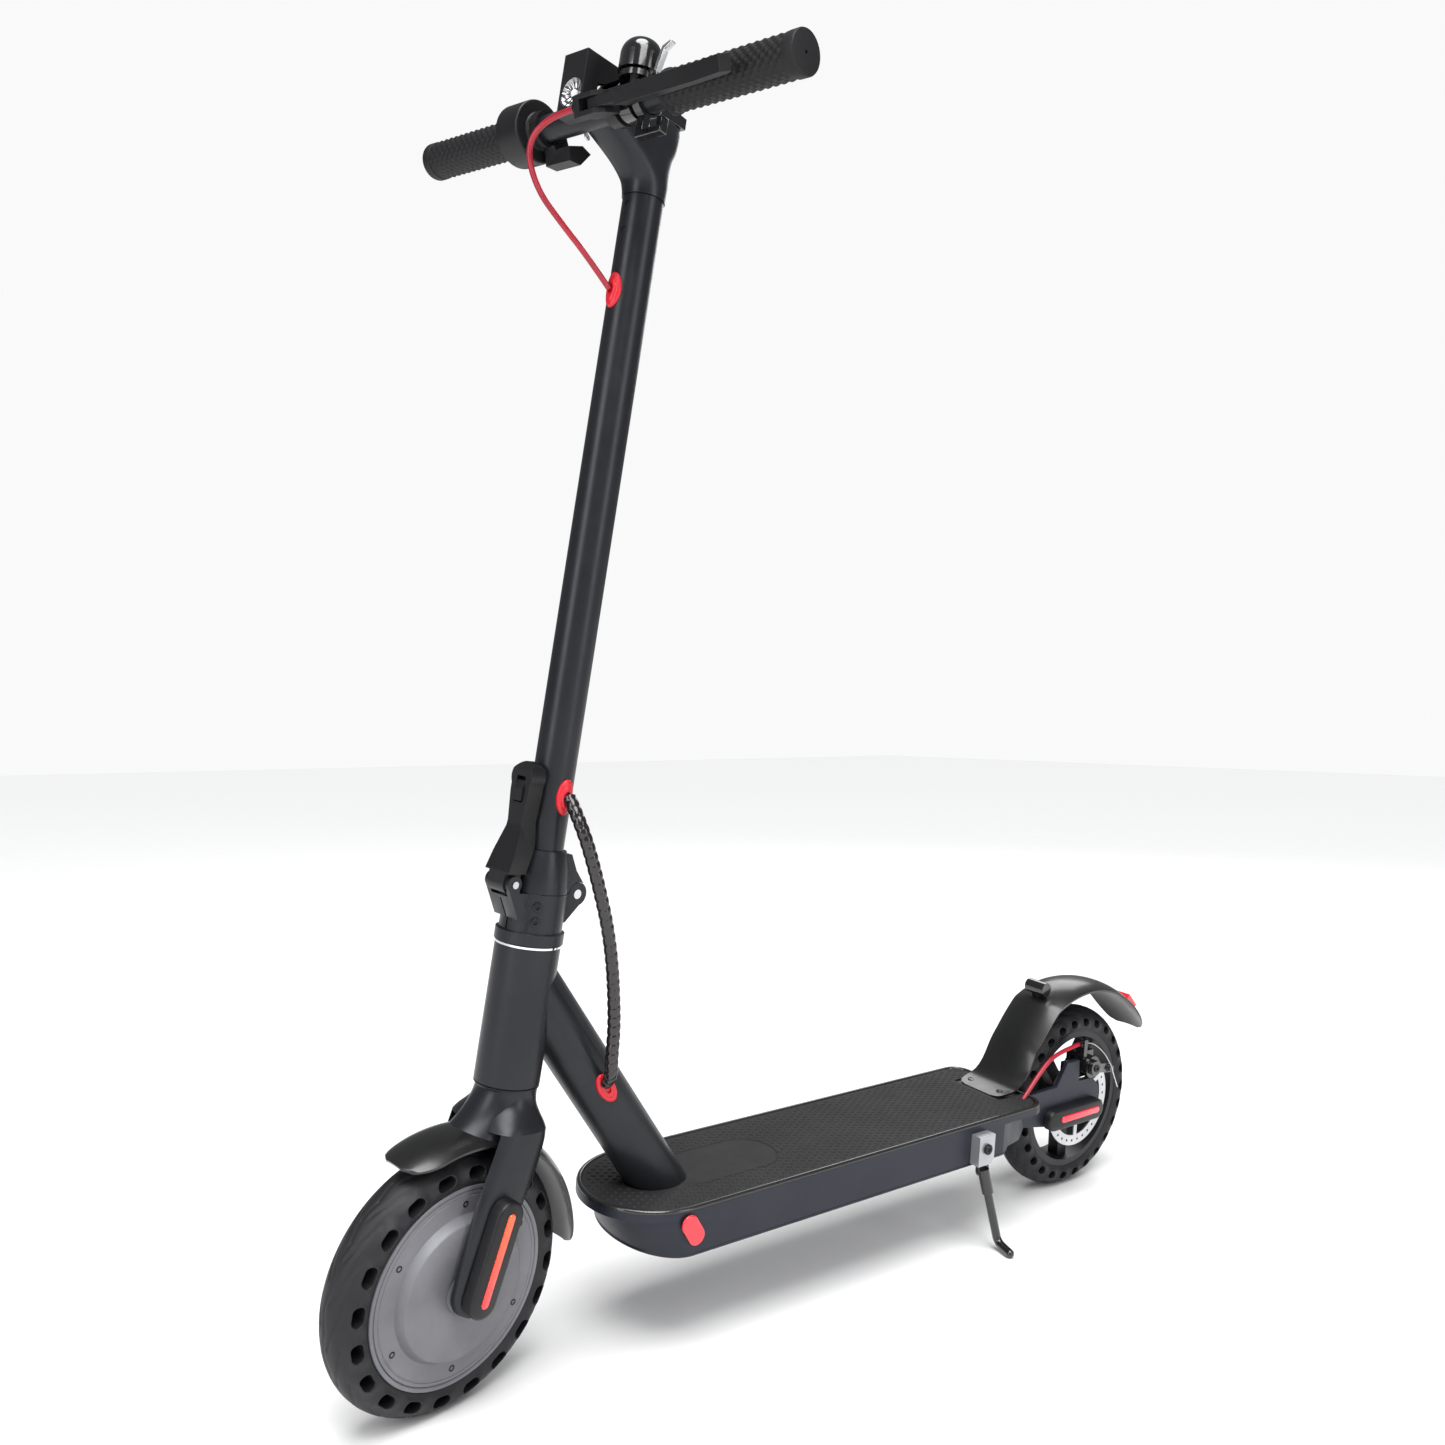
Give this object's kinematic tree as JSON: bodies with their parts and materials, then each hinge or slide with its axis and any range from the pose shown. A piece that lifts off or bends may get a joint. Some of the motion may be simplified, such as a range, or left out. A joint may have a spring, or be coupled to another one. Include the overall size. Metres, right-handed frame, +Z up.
{
  "type": "electric kick scooter",
  "caption": "Electric kick scooter with a folding stem, hub motor front wheel, disc braked rear wheel, flat standing deck and side kickstand, parked on its stand.",
  "frame": {"origin": "on the floor, at the middle of the bounding box's bottom", "axes": "+X towards the front wheel, +Y to the rider's left, +Z up; the scooter leans 5.5 degrees to +Y on its kickstand"},
  "size_m": [1.0462, 0.4313, 1.0951],
  "materials": {
    "black_paint": "satin",
    "deck_paint": "satin",
    "motor_grey": "satin",
    "wheel_black": "satin",
    "kick_black": "gloss",
    "kick_block": "satin",
    "black_plastic": "matte",
    "gloss_black": "gloss",
    "red_plastic": "gloss",
    "battery_case": "matte",
    "mat_rubber": "matte",
    "grip_rubber": "matte",
    "red_rubber": "satin",
    "wrap_black": "gloss",
    "tyre_rubber": "matte",
    "steel": "brushed",
    "lens": "clear"
  },
  "bodies": {
    "frame": {"head_tube": "black_paint", "down_tube": "black_paint", "deck_shell": "deck_paint", "deck_mat": "mat_rubber", "deck_edge_trim": "black_plastic", "bottom_cover": "deck_paint", "bottom_screws": "steel", "battery_pack": "battery_case", "charge_socket": "black_plastic", "rear_arms": "deck_paint", "rear_axle": "steel", "rear_axle_covers": "black_plastic", "rear_reflectors": "red_plastic", "rear_fender": "gloss_black", "fender_hook": "gloss_black", "tail_light": "red_plastic", "kickstand_bracket": "kick_block", "kickstand_bolt": "steel", "brake_caliper": "wheel_black", "rear_brake_cable": "red_rubber", "down_tube_grommet": "red_rubber", "headset_cups": "steel"},
    "charge_flap": {"charge_flap": "red_rubber"},
    "kickstand": {"kickstand_leg": "kick_black"},
    "rear_wheel": {"rear_rim": "wheel_black", "rear_tyre": "tyre_rubber", "brake_disc": "steel"},
    "caliper_arm": {"caliper_arm": "wheel_black"},
    "brake_pad": {"brake_pad": "steel"},
    "steerer": {"fork": "black_paint", "fork_covers": "black_plastic", "fork_reflectors": "red_plastic", "front_fender": "gloss_black", "hinge_base": "black_paint", "hinge_pins": "steel", "motor_axle": "steel", "wiring_harness": "wrap_black"},
    "front_wheel": {"motor_casing": "wheel_black", "motor_side_plates": "motor_grey", "front_tyre": "tyre_rubber"},
    "stem": {"hinge_head": "black_paint", "stem_tube": "black_paint", "stem_head": "black_paint", "handlebar": "black_paint", "grips": "grip_rubber", "throttle_housing": "black_plastic", "brake_bracket": "black_paint", "bell": "gloss_black", "hanging_hook": "gloss_black", "headlight": "gloss_black", "headlight_lens": "lens", "stem_grommets": "red_rubber", "front_brake_cable": "red_rubber", "display": "gloss_black"},
    "fold_lever": {"fold_lever": "black_paint"},
    "fold_catch": {"fold_catch": "black_plastic"},
    "brake_lever": {"brake_lever": "black_paint"},
    "throttle_paddle": {"throttle_paddle": "black_plastic"},
    "bell_lever": {"bell_lever": "steel"},
    "power_button": {"power_button": "gloss_black"}
  },
  "joints": [
    {"name": "steering", "type": "hinge", "parent": "frame", "child": "steerer", "pos_m": [0.36366, -0.0842, 0.30541], "axis": [-0.1132, 0.0952, 0.989], "range_deg": [-51, 29], "deforming": ["wiring_harness"]},
    {"name": "front_wheel_spin", "type": "hinge", "parent": "steerer", "child": "front_wheel", "pos_m": [0.42043, -0.09663, 0.10743], "axis": [-0.1896, 0.975, -0.1156], "continuous": true},
    {"name": "rear_wheel_spin", "type": "hinge", "parent": "frame", "child": "rear_wheel", "pos_m": [-0.3874, -0.10325, 0.10761], "axis": [0, 0.9954, -0.0958], "continuous": true},
    {"name": "stem_fold", "type": "hinge", "parent": "steerer", "child": "stem", "pos_m": [0.31966, -0.07986, 0.41421], "axis": [0.1896, -0.975, 0.1156], "range_deg": [0, 98], "deforming": ["wiring_harness"]},
    {"name": "fold_lever", "type": "hinge", "parent": "steerer", "child": "fold_lever", "pos_m": [0.38556, -0.06536, 0.42845], "axis": [-0.1896, 0.975, -0.1156], "range_deg": [0, 110]},
    {"name": "fold_catch", "type": "hinge", "parent": "fold_lever", "child": "fold_catch", "pos_m": [0.37031, -0.05866, 0.50998], "axis": [0.1896, -0.975, 0.1156], "range_deg": [0, 25], "stiffness_Nm_per_rad": 0.02, "springref_deg": -17.19},
    {"name": "kickstand", "type": "hinge", "parent": "frame", "child": "kickstand", "pos_m": [-0.1604, -0.02853, 0.10946], "axis": [0, 0.9954, -0.0958], "range_deg": [0, 95]},
    {"name": "charge_flap", "type": "hinge", "parent": "frame", "child": "charge_flap", "pos_m": [0.2071, -0.03502, 0.10154], "axis": [-0.8387, 0.0522, 0.5421], "range_deg": [0, 90]},
    {"name": "brake_lever", "type": "hinge", "parent": "stem", "child": "brake_lever", "pos_m": [0.3635, 0.03748, 1.038], "axis": [0.2604, 0.1634, 0.9516], "range_deg": [0, 4.4], "stiffness_Nm_per_rad": 0.6, "springref_deg": -17.19},
    {"name": "caliper_arm", "type": "hinge", "parent": "frame", "child": "caliper_arm", "pos_m": [-0.3844, -0.05096, 0.14979], "axis": [0, 0.9954, -0.0958], "range_deg": [0, 14]},
    {"name": "brake_pad", "type": "slide", "parent": "frame", "child": "brake_pad", "axis": [0, -0.9954, 0.0958], "range_m": [0, 0.00042]},
    {"name": "throttle_paddle", "type": "hinge", "parent": "stem", "child": "throttle_paddle", "pos_m": [0.35387, -0.05853, 1.05713], "axis": [0.1896, -0.975, 0.1156], "range_deg": [0, 35], "stiffness_Nm_per_rad": 0.05, "springref_deg": -20.05},
    {"name": "bell_lever", "type": "hinge", "parent": "stem", "child": "bell_lever", "pos_m": [0.32794, 0.06604, 1.06037], "axis": [-0.9753, -0.2006, -0.0923], "range_deg": [0, 20], "stiffness_Nm_per_rad": 0.01, "springref_deg": -17.19},
    {"name": "power_button", "type": "slide", "parent": "stem", "child": "power_button", "axis": [0.1132, -0.0952, -0.989], "range_m": [0, 0.0006], "stiffness_N_per_m": 300, "springref_m": -0.002}
  ],
  "couplings": [
    {"joint": "caliper_arm", "follows": "brake_lever", "ratio": 3},
    {"joint": "brake_pad", "follows": "brake_lever", "m_per_rad": 0.005}
  ]
}
